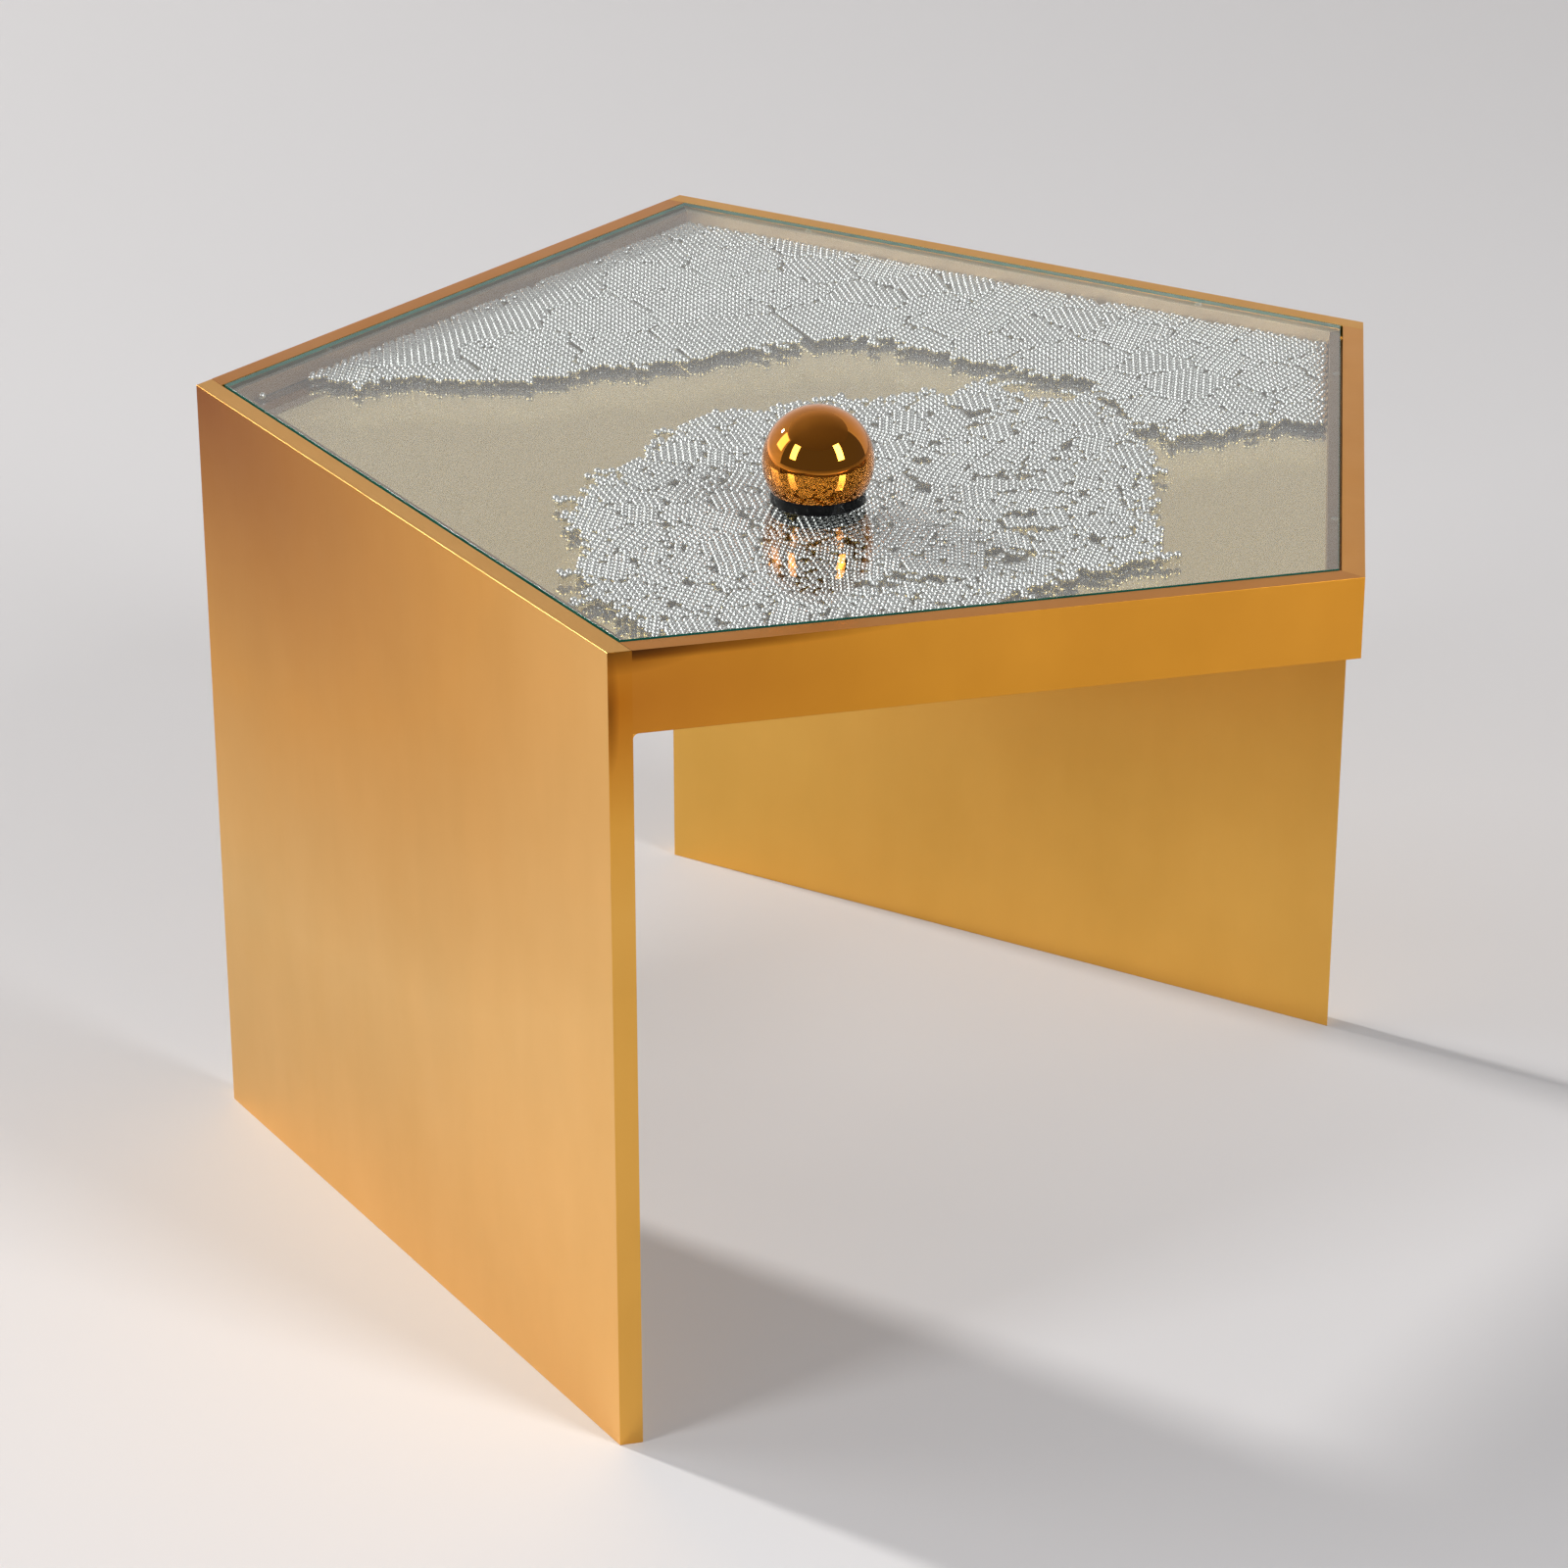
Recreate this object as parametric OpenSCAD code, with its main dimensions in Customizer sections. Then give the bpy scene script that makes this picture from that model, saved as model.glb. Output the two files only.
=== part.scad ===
// Magnetic side table: a five-sided brass-tone frame, a glass-topped mirror tray of loose
// steel balls, and a polished spherical magnet that is slid over the glass.
// Millimetres. +Z is up. The origin is on the floor at the middle of the overall plan box.

/* [Plan corners] */
// Left corner A, across
corner_a_x = -339; // [-345:1:-325]
// Left corner A, back from the middle
corner_a_y = 81; // [70:1:95]
// Back corner B, across
corner_b_x = 8; // [-10:1:25]
// Back corner B, back from the middle
corner_b_y = 358; // [345:1:365]
// Right corner C, across
corner_c_x = 339; // [325:1:345]
// Right corner C, back from the middle
corner_c_y = 18; // [5:1:30]
// Front right corner D, across
corner_d_x = 198; // [185:1:210]
// Front left corner E, across
corner_e_x = -199; // [-210:1:-185]
// Front edge D to E, forward of the middle
front_y = -358; // [-365:1:-350]

/* [Frame] */
// Height of the rim above the floor
rim_h = 457; // [430:1:500]
// Thickness of the leg panels and the aprons
plate_t = 12; // [10:0.5:14]
// Height of the aprons
apron_h = 45; // [44:1:60]
// Radius of the fillet under each apron, where it meets a leg panel
fillet_r = 3; // [1:0.5:5]
// Length of a corner gusset along each wall
gusset_len = 55; // [40:1:80]
// Thickness of the gussets and the tray lugs
steel_t = 3; // [2:0.5:3]
// Length of a tray lug along its wall
lug_len = 30; // [20:1:40]
// Reach of a tray lug in from its wall
lug_reach = 22; // [16:1:30]

/* [Tray] */
// Thickness of the top glass
glass_t = 8; // [6:1:8]
// Height of the top glass above the rim
glass_proud = 0.5; // [0:0.5:3]
// Gap between the top glass and the rim
glass_gap = 1.3; // [0.8:0.1:2]
// Thickness of the clear bumpers under the glass
bumper_t = 1; // [0.8:0.1:1.5]
// Radius of a bumper
bumper_r = 2; // [1.5:0.25:2.5]
// Width of the ledge that carries the glass
ledge_w = 7.5; // [6:0.5:10]
// Height of the ledge
ledge_h = 9.5; // [9:0.5:11]
// Thickness of the clear pane that the balls roll on
pane_t = 8; // [6:1:8]
// Thickness of the bronze mirror under the pane
mirror_t = 3; // [2:0.5:3]
// Thickness of the tray board
board_t = 10; // [8:1:10]
// Gap between the tray sheets and the walls
sheet_gap = 1; // [0.5:0.5:2]

/* [Balls] */
// Diameter of a steel ball
ball_d = 4.5; // [4:0.5:5]
// Distance of the loose ball from corner A of the tray, along the back wall
loose_along = 16; // [12:1:30]
// Distance of the middle of the loose ball from the back wall
loose_off = 3; // [2.6:0.1:8]

/* [Magnet] */
// Middle of the magnet, across
magnet_x = -45; // [-120:1:120]
// Middle of the magnet, back from the middle of the table
magnet_y = -183; // [-240:1:100]
// Diameter of the sphere
sphere_d = 60; // [56:1:64]
// Wall of the sphere
sphere_wall = 3; // [2:0.5:4]
// Outer diameter of the black base ring
ring_d = 51; // [50:0.5:52]
// Inner diameter of the base ring
ring_bore = 42; // [40:0.5:43]
// Thickness of the felt pad
felt_t = 0.8; // [0.5:0.1:1]
// Top of the base ring above the glass
ring_top = 6.6; // [6:0.1:8]
// Diameter of the disc magnet
disc_d = 41; // [30:0.5:41]
// Thickness of the disc magnet
disc_t = 12; // [8:1:14]
// Thickness of the steel keeper plate on the magnet
keeper_t = 4; // [2:0.5:5]
// Diameter of the threaded boss inside the sphere
boss_d = 12; // [10:1:16]

/* [Hidden] */

// Clear space left between pieces that slide past each other
slip = 0.1;
// Overshoot of a cutting shape past the face it cuts
over = 1;
// Round surfaces are true surfaces; this only sets how they are drawn
$fn = 96;

brass = "#C08A45";
bright_steel = "#B8BBBC";
zinc = "#9A9C9E";
black = "#1B1B1D";
taupe = "#8C8380";
bronze = "#7A4A1A";

// Corners A to E, clockwise from the left when seen from above. Side i runs from corner i.
// Side A is the back, side B the rear right, side C the right, side D the front, side E the left.
side_a = 0;
side_b = 1;
side_c = 2;
side_d = 3;
side_e = 4;
corners = [
    [corner_a_x, corner_a_y],
    [corner_b_x, corner_b_y],
    [corner_c_x, corner_c_y],
    [corner_d_x, front_y],
    [corner_e_x, front_y]
];
sides = len(corners);

// Heights above the floor, from the top of the tray down
glass_top_z = rim_h + glass_proud;
glass_z = glass_top_z - glass_t;
ledge_top_z = glass_z - bumper_t;
ball_z = ledge_top_z - ledge_h;
mirror_top_z = ball_z - pane_t;
board_top_z = mirror_top_z - mirror_t;
lug_top_z = board_top_z - board_t;
lug_z = lug_top_z - steel_t;
apron_z = rim_h - apron_h;

// Screws that hold the tray board: radius and height of the head, radius and length of the shank
tray_head_r = 4;
tray_head_h = 2;
tray_shank_r = 2;
tray_shank_len = 11;
// Distance of a gusset's screw from its corner, and of a lug's screw from its wall
gusset_hole = 24;
lug_hole = 13;
// Bumpers lie at these shares of each side
bumper_shares = [0.2, 0.8];

// Heights in the magnet, above the glass
sphere_mid = glass_top_z + 22.5;
disc_z = glass_top_z + felt_t;
keeper_z = disc_z + disc_t;
boss_z = keeper_z + keeper_t;
magnet_screw_r = 2.5;
magnet_screw_head_r = 4.8;
magnet_screw_head_h = 3.8;
magnet_screw_len = 30;

// Front edge of the rear field of balls, from the left wall to the right wall
rear_front = [
    [-242, 90], [-213, 93], [-188, 76], [-140, 71], [-96, 81], [-55, 80],
    [-9, 94], [50, 95], [69, 86], [86, 70], [112, 32], [137, 10],
    [160, -9], [164, -77], [174, -90], [185, -110], [202, -112], [223, -104],
    [244, -103], [264, -109]
];
// Where the rear field meets the left wall (A to B) and the right wall (C to D), as shares
rear_left_share = 0.13;
rear_right_share = 0.35;
// Edge of the cluster round the magnet, clockwise from where it leaves the front wall
cluster_edge = [
    [-168, -318], [-177, -282], [-185, -258], [-184, -216], [-175, -190], [-173, -160],
    [-151, -106], [-125, -81], [-94, -43], [-73, -17], [-49, -5], [-25, -10],
    [11, 0], [30, -15], [48, -6], [80, -14], [99, 3], [112, -28],
    [127, -44], [141, -45], [158, -24], [162, -92], [160, -124], [150, -159],
    [144, -191], [131, -221], [127, -253], [108, -287], [64, -298], [37, -303],
    [18, -316]
];
cluster_left_share = 0.93;
cluster_right_share = 0.47;

// Unit vector along side i, and the unit normal that points into the table
function along(i) = let(a = corners[i % sides], b = corners[(i + 1) % sides]) (b - a) / norm(b - a);
function inward(i) = let(d = along(i)) [d.y, -d.x];
// Corner i moved in by w from both of its sides
function inset(i, w) =
    let(m = inward((i + sides - 1) % sides), n = inward(i))
    corners[i % sides] + w * (m + n) / (1 + m * n);
// Corner i moved in by w from side i only, along the side before it
function slide_in(i, w) =
    let(d = along((i + sides - 1) % sides), n = inward(i)) corners[i] + d * w / (d * n);
// Corner i moved in by w from the side before it only, along side i
function slide_on(i, w) =
    let(d = along(i), n = inward((i + sides - 1) % sides)) corners[i] + d * w / (d * n);
// A point at a share of side i, moved in by w
function on_side(i, share, w) =
    inset(i, w) * (1 - share) + inset((i + 1) % sides, w) * share;
// Outline of the whole table moved in by w
function outline(w) = [for (i = [0 : sides - 1]) inset(i, w)];
// Plan of a strip along side i, from w0 to w1 in from the outside, mitred at both ends
function strip(i, w0, w1) = [
    inset(i, w0), inset((i + 1) % sides, w0), inset((i + 1) % sides, w1), inset(i, w1)
];

module prism(points, z, h) {
    translate([0, 0, z]) linear_extrude(h) polygon(points);
}

// Places its children at a point of the plan, with X along side i and Y into the table
module at_wall(i, point) {
    d = along(i);
    translate([point.x, point.y, 0]) rotate(atan2(d.y, d.x)) mirror([0, 1, 0]) children();
}

// Full-height plate along side i. Its ends are flush with the faces of the sides next to it.
module leg_panel(i) {
    next = (i + 1) % sides;
    color(brass)
        prism(
            [corners[i], corners[next], slide_on(next, plate_t), slide_in(i, plate_t)],
            0, rim_h
        );
}

module leg_panel_left() {
    leg_panel(side_e);
}

module leg_panel_rear() {
    leg_panel(side_b);
}

module apron(plan) {
    color(brass) prism(plan, apron_z, apron_h);
}

// The front apron butts on the left panel and is mitred at corner D
module apron_front() {
    apron([
        corners[side_d],
        slide_in(side_e, plate_t),
        inset(side_e, plate_t),
        inset(side_d, plate_t)
    ]);
}

// The right apron butts on the rear panel and is mitred at corner D
module apron_right() {
    apron([
        slide_on(side_c, plate_t),
        corners[side_d],
        inset(side_d, plate_t),
        inset(side_c, plate_t)
    ]);
}

// The back apron stands between the two leg panels
module apron_back() {
    apron([
        slide_on(side_a, plate_t),
        slide_in(side_b, plate_t),
        inset(side_b, plate_t),
        inset(side_a, plate_t)
    ]);
}

// Fillet along the inner face of leg panel i, under the apron that meets it there
module fillet(i, apron_side) {
    intersection() {
        prism(strip(apron_side, 0, plate_t), apron_z - fillet_r, fillet_r);
        at_wall(i, inset(i, plate_t))
            translate([-rim_h / 2, 0, apron_z - fillet_r])
                rotate([90, 0, 90])
                    linear_extrude(rim_h * 2)
                        difference() {
                            square(fillet_r);
                            translate([fillet_r, 0]) circle(fillet_r);
                        }
    }
}

module joint_fillets() {
    color(brass) {
        fillet(side_e, side_d);
        fillet(side_e, side_a);
        fillet(side_b, side_a);
        fillet(side_b, side_c);
    }
}

// Unit vector from corner i to the middle of the table, between its two walls
function bisector(i) = let(v = inset(i, 1) - corners[i % sides]) v / norm(v);
function gusset_screw(i) = inset(i, plate_t) + bisector(i) * gusset_hole;
function lug_screw(i) = on_side(i, 0.5, plate_t + lug_hole);

// Flat triangular plate in corner i, under the tray board
module corner_gusset(i) {
    corner = inset(i, plate_t);
    toward = corner + along(i) * gusset_len;
    back = corner - along((i + sides - 1) % sides) * gusset_len;
    color(zinc) difference() {
        prism([corner, toward, back], lug_z, steel_t);
        translate([gusset_screw(i).x, gusset_screw(i).y, lug_z - over])
            cylinder(r = tray_shank_r + slip, h = steel_t + 2 * over);
    }
}

module corner_gusset_a() {
    corner_gusset(side_a);
}

module corner_gusset_b() {
    corner_gusset(side_b);
}

module corner_gusset_c() {
    corner_gusset(side_c);
}

module corner_gusset_d() {
    corner_gusset(side_d);
}

module corner_gusset_e() {
    corner_gusset(side_e);
}

// A tab in the middle of each wall carries the tray board
module tray_lugs() {
    color(zinc)
        for (i = [0 : sides - 1])
            difference() {
                at_wall(i, on_side(i, 0.5, plate_t))
                    translate([-lug_len / 2, 0, lug_z]) cube([lug_len, lug_reach, steel_t]);
                translate([lug_screw(i).x, lug_screw(i).y, lug_z - over])
                    cylinder(r = tray_shank_r + slip, h = steel_t + 2 * over);
            }
}

module tray_screw(point) {
    translate([point.x, point.y, lug_z - tray_head_h]) {
        cylinder(r = tray_head_r, h = tray_head_h);
        cylinder(r = tray_shank_r, h = tray_head_h + tray_shank_len);
    }
}

module tray_screws() {
    color(zinc)
        for (i = [0 : sides - 1]) {
            tray_screw(gusset_screw(i));
            tray_screw(lug_screw(i));
        }
}

// The board has a blind pilot hole over each screw
module tray_board() {
    color(black) difference() {
        prism(outline(plate_t + sheet_gap), lug_top_z, board_t);
        for (i = [0 : sides - 1])
            for (point = [gusset_screw(i), lug_screw(i)])
                translate([point.x, point.y, lug_top_z - over])
                    cylinder(r = tray_shank_r + slip / 2, h = over + tray_shank_len - steel_t);
    }
}

module mirror_sheet() {
    color("#B9A98A") prism(outline(plate_t + sheet_gap), board_top_z, mirror_t);
}

module floor_pane() {
    color("#B9C4B4", 0.4) prism(outline(plate_t + sheet_gap), mirror_top_z, pane_t);
}

// Strip on the pane along side i: the wall of the tray, and the shelf that the glass lies on
module ledge(i) {
    color(taupe) prism(strip(i, plate_t, plate_t + ledge_w), ball_z, ledge_h);
}

module ledge_back() {
    ledge(side_a);
}

module ledge_rear() {
    ledge(side_b);
}

module ledge_right() {
    ledge(side_c);
}

module ledge_front() {
    ledge(side_d);
}

module ledge_left() {
    ledge(side_e);
}

module glass_bumpers() {
    color("#D8DEDC", 0.6)
        for (i = [0 : sides - 1])
            for (share = bumper_shares) {
                point = on_side(i, share, plate_t + ledge_w / 2);
                translate([point.x, point.y, ledge_top_z]) cylinder(r = bumper_r, h = bumper_t);
            }
}

module glass_top() {
    color("#BFD8CC", 0.3) prism(outline(plate_t + glass_gap), glass_z, glass_t);
}

// One layer of loose balls over the back of the tray, as a slab a ball thick
module rear_ball_bed() {
    wall = plate_t + ledge_w;
    edge = concat(
        [on_side(side_a, rear_left_share, wall)],
        rear_front,
        [on_side(side_c, rear_right_share, wall), inset(side_c, wall), inset(side_b, wall)]
    );
    color(bright_steel) prism(edge, ball_z, ball_d);
}

// The balls that the magnet holds, with the drift of balls that reaches the front wall
module magnet_ball_cluster() {
    wall = plate_t + ledge_w;
    edge = concat(
        [on_side(side_d, cluster_left_share, wall)],
        cluster_edge,
        [on_side(side_d, cluster_right_share, wall)]
    );
    color(bright_steel) prism(edge, ball_z, ball_d);
}

module stray_ball() {
    wall = plate_t + ledge_w;
    point = inset(side_a, wall) + along(side_a) * loose_along + inward(side_a) * loose_off;
    color(bright_steel)
        translate([point.x, point.y, ball_z + ball_d / 2]) sphere(d = ball_d);
}

module at_magnet(z) {
    translate([magnet_x, magnet_y, z]) children();
}

module felt_pad() {
    color(black) at_magnet(glass_top_z) difference() {
        cylinder(d = ring_d - 2, h = felt_t);
        translate([0, 0, -over]) cylinder(r = magnet_screw_head_r + slip, h = felt_t + 2 * over);
    }
}

module base_ring() {
    color(black) at_magnet(disc_z) difference() {
        cylinder(d = ring_d, h = ring_top - felt_t);
        translate([0, 0, -over]) cylinder(d = ring_bore, h = ring_top + over);
    }
}

// Disc magnet with a counterbored hole for the screw that ties the stack to the sphere
module disc_magnet() {
    color("#8E9194") at_magnet(disc_z) difference() {
        cylinder(d = disc_d, h = disc_t);
        translate([0, 0, -over]) cylinder(r = magnet_screw_r + slip, h = disc_t + 2 * over);
        translate([0, 0, -over])
            cylinder(r = magnet_screw_head_r + slip, h = magnet_screw_head_h + 2 * slip + over);
    }
}

module keeper_plate() {
    color(zinc) at_magnet(keeper_z) difference() {
        cylinder(d = disc_d, h = keeper_t);
        translate([0, 0, -over]) cylinder(r = magnet_screw_r + slip, h = keeper_t + 2 * over);
    }
}

// Hollow polished sphere, cut flat where it sits on the ring, with a threaded boss inside
module sphere_shell() {
    color(bronze) difference() {
        intersection() {
            at_magnet(sphere_mid) sphere(d = sphere_d);
            at_magnet(glass_top_z + ring_top)
                translate([-sphere_d, -sphere_d, 0]) cube(sphere_d * 2);
        }
        difference() {
            at_magnet(sphere_mid) sphere(d = sphere_d - 2 * sphere_wall);
            at_magnet(boss_z) cylinder(d = boss_d, h = sphere_d);
        }
        at_magnet(boss_z - over)
            cylinder(r = magnet_screw_r + slip / 2, h = magnet_screw_len - disc_t + over);
    }
}

module magnet_screw() {
    color(zinc) at_magnet(disc_z + slip) {
        cylinder(r = magnet_screw_head_r, h = magnet_screw_head_h);
        cylinder(r = magnet_screw_r, h = magnet_screw_len);
    }
}

leg_panel_left();
leg_panel_rear();
apron_front();
apron_right();
apron_back();
joint_fillets();
corner_gusset_a();
corner_gusset_b();
corner_gusset_c();
corner_gusset_d();
corner_gusset_e();
tray_lugs();
tray_screws();
tray_board();
mirror_sheet();
floor_pane();
ledge_back();
ledge_rear();
ledge_right();
ledge_front();
ledge_left();
glass_bumpers();
glass_top();
rear_ball_bed();
magnet_ball_cluster();
stray_ball();
felt_pad();
base_ring();
disc_magnet();
keeper_plate();
sphere_shell();
magnet_screw();
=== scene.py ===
import math
import bmesh
import bpy
import numpy as np
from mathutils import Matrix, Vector, noise
from mathutils.bvhtree import BVHTree


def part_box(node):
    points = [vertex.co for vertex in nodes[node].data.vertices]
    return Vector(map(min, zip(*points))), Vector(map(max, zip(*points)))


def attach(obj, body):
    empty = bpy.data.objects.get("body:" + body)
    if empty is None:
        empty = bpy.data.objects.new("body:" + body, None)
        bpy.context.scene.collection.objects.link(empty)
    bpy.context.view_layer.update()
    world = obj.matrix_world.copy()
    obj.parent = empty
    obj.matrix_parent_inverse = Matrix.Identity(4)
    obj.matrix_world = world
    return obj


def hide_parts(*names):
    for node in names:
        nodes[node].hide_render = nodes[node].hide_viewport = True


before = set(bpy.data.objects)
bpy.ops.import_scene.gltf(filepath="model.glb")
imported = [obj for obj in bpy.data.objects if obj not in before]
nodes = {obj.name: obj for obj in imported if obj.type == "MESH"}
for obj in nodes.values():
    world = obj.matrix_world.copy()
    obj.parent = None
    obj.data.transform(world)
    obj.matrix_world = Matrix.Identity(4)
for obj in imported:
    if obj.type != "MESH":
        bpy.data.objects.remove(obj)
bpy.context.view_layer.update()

SEED = 457
rng = np.random.default_rng(SEED)
noise.seed_set(SEED)
MM = 0.001


# ---------------------------------------------------------------- materials

class Look:
    """One node material. Sockets take plain values or another node's output."""

    # Places of the two colour inputs and the colour output on a Mix node
    MIX_A, MIX_B, MIX_OUT = 6, 7, 2

    def __init__(self, name):
        self.material = bpy.data.materials.new(name)
        self.material.use_nodes = True
        self.tree = self.material.node_tree
        self.tree.nodes.clear()
        self.out = self.tree.nodes.new("ShaderNodeOutputMaterial")

    def node(self, kind, **settings):
        made = self.tree.nodes.new("ShaderNode" + kind)
        for key, value in settings.items():
            if hasattr(made, key):
                setattr(made, key, value)
                continue
            self.put(made.inputs[key.replace("_", " ")], value)
        return made

    def put(self, socket, value):
        if isinstance(value, bpy.types.NodeSocket):
            self.tree.links.new(value, socket)
        elif isinstance(value, (tuple, list)) and socket.type == "RGBA":
            socket.default_value = (*value[:3], 1.0)
        else:
            socket.default_value = value

    def principled(self, **inputs):
        made = self.node("BsdfPrincipled")
        for key, value in inputs.items():
            self.put(made.inputs[key.replace("_", " ")], value)
        return made

    def coords(self, stretch=(1, 1, 1)):
        mapping = self.node("Mapping")
        mapping.inputs["Scale"].default_value = stretch
        self.put(mapping.inputs["Vector"], self.node("TexCoord").outputs["Object"])
        return mapping.outputs["Vector"]

    def grain(self, size, detail=2.0, stretch=(1, 1, 1), rough=0.5):
        """Noise whose blobs are about this many metres across."""
        made = self.node("TexNoise")
        self.put(made.inputs["Vector"], self.coords(stretch))
        made.inputs["Scale"].default_value = 1.0 / size
        made.inputs["Detail"].default_value = detail
        made.inputs["Roughness"].default_value = rough
        return made.outputs["Fac"]

    def axis(self, output, letter):
        """One coordinate of the object's own position or normal."""
        parts = self.node("SeparateXYZ")
        self.put(parts.inputs[0], self.node("TexCoord").outputs[output])
        return parts.outputs[letter]

    def near(self, place, radius):
        """1 at a place on the object, falling to 0 at this radius."""
        mapping = self.node("Mapping")
        mapping.inputs["Scale"].default_value = [1 / r for r in radius]
        mapping.inputs["Location"].default_value = [-c / r for c, r in zip(place, radius)]
        self.put(mapping.inputs["Vector"], self.node("TexCoord").outputs["Object"])
        made = self.node("TexGradient")
        made.gradient_type = "SPHERICAL"
        self.put(made.inputs["Vector"], mapping.outputs["Vector"])
        return made.outputs["Fac"]

    def ramp(self, factor, *stops):
        made = self.node("ValToRGB")
        self.put(made.inputs["Fac"], factor)
        points = made.color_ramp.elements
        while len(points) < len(stops):
            points.new(0.5)
        for point, (place, colour) in zip(points, stops):
            point.position = place
            point.color = (*colour, 1.0)
        return made.outputs["Color"]

    def darken(self, tone, layer):
        """One colour times another."""
        blend = self.node("Mix", data_type="RGBA", blend_type="MULTIPLY", Factor=1.0)
        self.put(blend.inputs[self.MIX_A], tone)
        self.put(blend.inputs[self.MIX_B], layer)
        return blend.outputs[self.MIX_OUT]

    def span(self, factor, low, high, start=0.3, end=0.7):
        made = self.node("MapRange")
        self.put(made.inputs["Value"], factor)
        made.inputs["From Min"].default_value = start
        made.inputs["From Max"].default_value = end
        made.inputs["To Min"].default_value = low
        made.inputs["To Max"].default_value = high
        return made.outputs["Result"]

    def bump(self, height, strength, distance):
        made = self.node("Bump")
        self.put(made.inputs["Height"], height)
        made.inputs["Strength"].default_value = strength
        made.inputs["Distance"].default_value = distance
        return made.outputs["Normal"]

    def done(self, shader, volume=None):
        self.tree.links.new(shader.outputs[0], self.out.inputs["Surface"])
        if volume is not None:
            self.tree.links.new(volume.outputs[0], self.out.inputs["Volume"])
        return self.material

    def lit_through(self, shader, tint, volume=None):
        """Glass that lamps shine through: clear to shadow rays only."""
        clear = self.node("BsdfTransparent")
        clear.inputs["Color"].default_value = (*tint, 1.0)
        path = self.node("LightPath")
        mix = self.node("MixShader")
        self.tree.links.new(path.outputs["Is Shadow Ray"], mix.inputs[0])
        self.tree.links.new(shader.outputs[0], mix.inputs[1])
        self.tree.links.new(clear.outputs[0], mix.inputs[2])
        return self.done(mix, volume)


def satin_brass(name, deep, bright, painted_shades=(), glance=(1, 1, 1)):
    """Satin brass-tone metal.

    Each painted shade is (place, radii in metres, strong, faint): upright faces are painted darker near
    that place. Faces that look up are painted darker and warmer everywhere.
    """
    look = Look(name)
    tone = look.ramp(look.grain(0.16, 4.0), (0.3, deep), (0.7, bright))
    mottle = look.grain(0.03, 3.0, (1, 1, 0.3))
    tone = look.darken(tone, look.ramp(mottle, (0.3, (0.97, 0.96, 0.93)), (0.7, (1, 1, 1))))
    upright = look.span(look.axis("Normal", "Z"), 1.0, 0.0, 0.5, 0.9)
    # Painted light: faces that look up are painted darker and warmer than upright faces.
    tone = look.darken(tone, look.ramp(upright, (0.0, (0.92, 0.81, 0.6)), (1.0, (1, 1, 1))))
    # Painted shade: each entry darkens upright faces near its place.
    for place, radii, strong, faint in painted_shades:
        reach = look.node("Math", operation="MULTIPLY")
        look.put(reach.inputs[0], look.near(place, radii))
        look.put(reach.inputs[1], upright)
        shade = look.ramp(reach.outputs[0], (0.0, (1, 1, 1)), (0.45, faint), (1.0, strong))
        tone = look.darken(tone, shade)
    shader = look.principled(
        Base_Color=tone,
        Metallic=1.0,
        Roughness=look.span(look.grain(0.05, 4.0), 0.31, 0.39),
        Normal=look.bump(look.grain(0.004, 2.0, (1, 1, 0.15)), 0.12, 0.0002),
        Coat_Weight=0.12, Coat_Roughness=0.3, Specular_Tint=glance,
    )
    return look.done(shader)


def float_glass(name, tint, density, shade):
    look = Look(name)
    shader = look.principled(
        Base_Color=(1.0, 1.0, 1.0), Roughness=0.0, IOR=1.5, Transmission_Weight=1.0,
        Normal=look.bump(look.grain(0.35, 1.0), 0.02, 0.0004),
    )
    body = look.node("VolumeAbsorption")
    body.inputs["Color"].default_value = (*tint, 1.0)
    body.inputs["Density"].default_value = density
    return look.lit_through(shader, shade, body)


def glass_edge():
    """The ground edge of float glass holds the light, so it looks dark green. Its dark tone is partly the
    glass's own green and partly painted shade for the shaded gap at the rim.
    """
    look = Look("glass_edge")
    drift = look.grain(0.02, 2.0)
    shader = look.principled(
        Base_Color=look.ramp(drift, (0.3, (0.008, 0.1, 0.068)), (0.7, (0.014, 0.135, 0.094))),
        Roughness=look.span(drift, 0.16, 0.21), Specular_IOR_Level=0.6,
    )
    return look.done(shader)


def ball_steel():
    look = Look("ball_steel")
    drift = look.grain(0.009, 1.0)
    shader = look.principled(
        Base_Color=look.ramp(drift, (0.3, (0.66, 0.665, 0.66)), (0.7, (0.74, 0.745, 0.74))),
        Metallic=1.0,
        Roughness=look.span(look.grain(0.0012, 2.0), 0.24, 0.28),
    )
    return look.done(shader)


def polished_bronze():
    look = Look("sphere_bronze")
    smear = look.grain(0.03, 3.0)
    shader = look.principled(
        Base_Color=look.ramp(smear, (0.3, (0.76, 0.25, 0.012)), (0.7, (0.8, 0.27, 0.018))),
        Metallic=1.0,
        Roughness=look.span(smear, 0.015, 0.035),
        Coat_Weight=0.3, Coat_Roughness=0.02,
    )
    return look.done(shader)


def bronze_mirror():
    look = Look("bronze_mirror")
    streak = look.grain(0.012, 2.0, (1, 0.12, 1))
    shader = look.principled(
        Base_Color=look.ramp(look.grain(0.3, 2.0), (0.3, (0.92, 0.645, 0.15)), (0.7, (0.96, 0.685, 0.19))),
        Metallic=1.0,
        Roughness=look.span(streak, 0.08, 0.11),
    )
    return look.done(shader)


def plain(name, colours, size, metallic=0.0, rough=0.4, grit=0.001, bump=0.15, shine=0.5):
    """A surface whose tone and roughness drift a little. Grit is the size of its fine bumps, in metres."""
    look = Look(name)
    shader = look.principled(
        Base_Color=look.ramp(look.grain(size, 3.0), (0.3, colours[0]), (0.7, colours[1])),
        Metallic=metallic,
        Roughness=look.span(look.grain(size * 0.6, 3.0), rough * 0.9, min(1.0, rough * 1.12)),
        Normal=look.bump(look.grain(grit, 2.0), bump, grit * 0.2),
        Specular_IOR_Level=shine,
    )
    return look.done(shader)


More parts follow.
